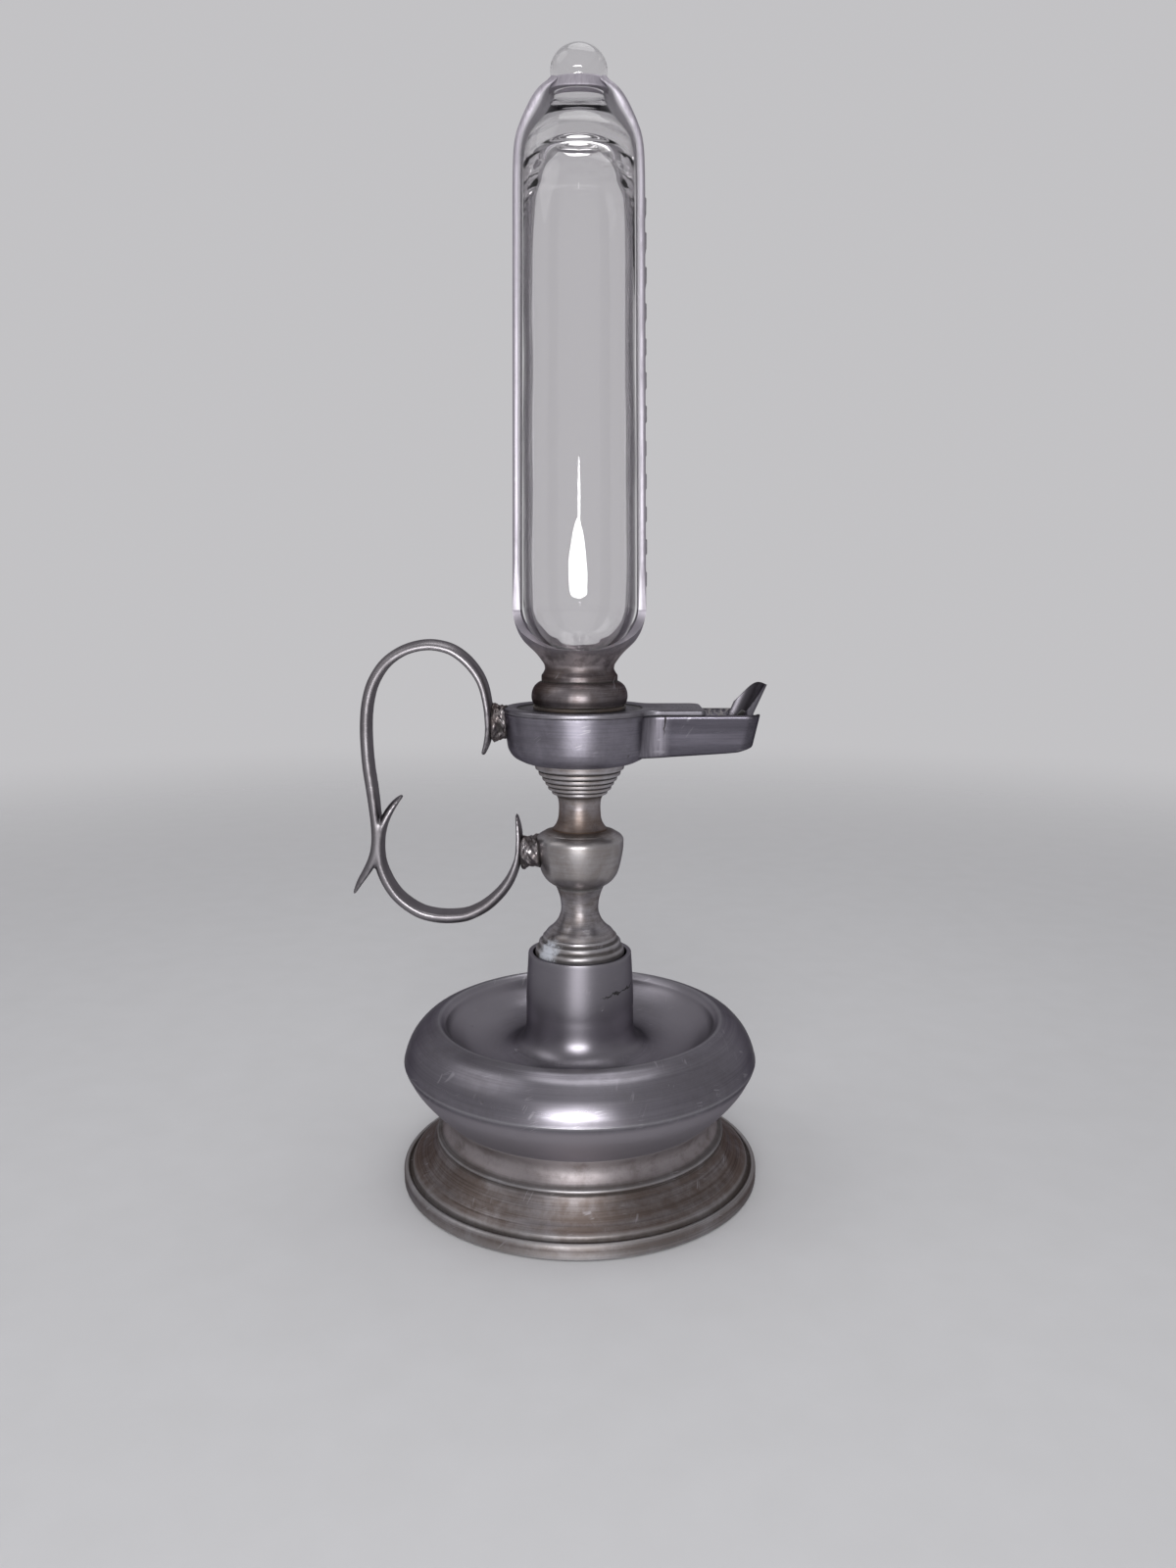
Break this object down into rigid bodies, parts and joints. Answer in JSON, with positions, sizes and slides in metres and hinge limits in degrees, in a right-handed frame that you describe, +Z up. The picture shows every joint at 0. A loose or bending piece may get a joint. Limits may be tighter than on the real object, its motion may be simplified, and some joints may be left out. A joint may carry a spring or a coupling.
{
  "type": "oil lamp clock",
  "caption": "Oil lamp clock: glass reservoir in a strap cage with hour figures, on an oil font with wick spout, scroll handle, turned stem and drip-tray foot.",
  "frame": {"origin": "on the lamp axis at the plane the foot stands on", "axes": "+Z up the lamp axis, +X towards the wick spout, the handle is towards -X"},
  "size_m": [0.1291, 0.114, 0.3402],
  "materials": {
    "pewter": "satin turned pewter",
    "pewter_warm": "tarnished satin pewter",
    "cotton": "plain cotton",
    "leather": "oiled",
    "glass": "clear blown",
    "putty": "matte"
  },
  "bodies": {
    "lamp": {"foot": "pewter_warm", "drip_tray": "pewter", "lower_stem": "pewter_warm", "knop": "pewter_warm", "upper_stem": "pewter_warm", "font_cup": "pewter", "spout": "pewter", "font_cover": "pewter", "scroll_handle": "pewter", "upper_lug": "pewter_warm", "lower_lug": "pewter_warm"},
    "wick_carrier": {"wick_rest": "pewter", "wick": "cotton"},
    "washer": {"seat_washer": "leather"},
    "reservoir": {"reservoir_collar": "pewter_warm", "plain_strap": "pewter", "scale_strap": "pewter", "hour_figures": "pewter", "crown_ring": "pewter", "glass_vessel": "glass", "neck_putty": "putty"}
  },
  "joints": [
    {"name": "wick_slide", "type": "slide", "parent": "lamp", "child": "wick_carrier", "axis": [-1, 0, 0], "range_m": [0, 0.007]},
    {"name": "reservoir_turn", "type": "hinge", "parent": "lamp", "child": "washer", "pos_m": [0, 0, 0.1507], "axis": [0, 0, 1], "continuous": true},
    {"name": "reservoir_lift", "type": "slide", "parent": "washer", "child": "reservoir", "axis": [0, 0, 1], "range_m": [0, 0.03]}
  ]
}
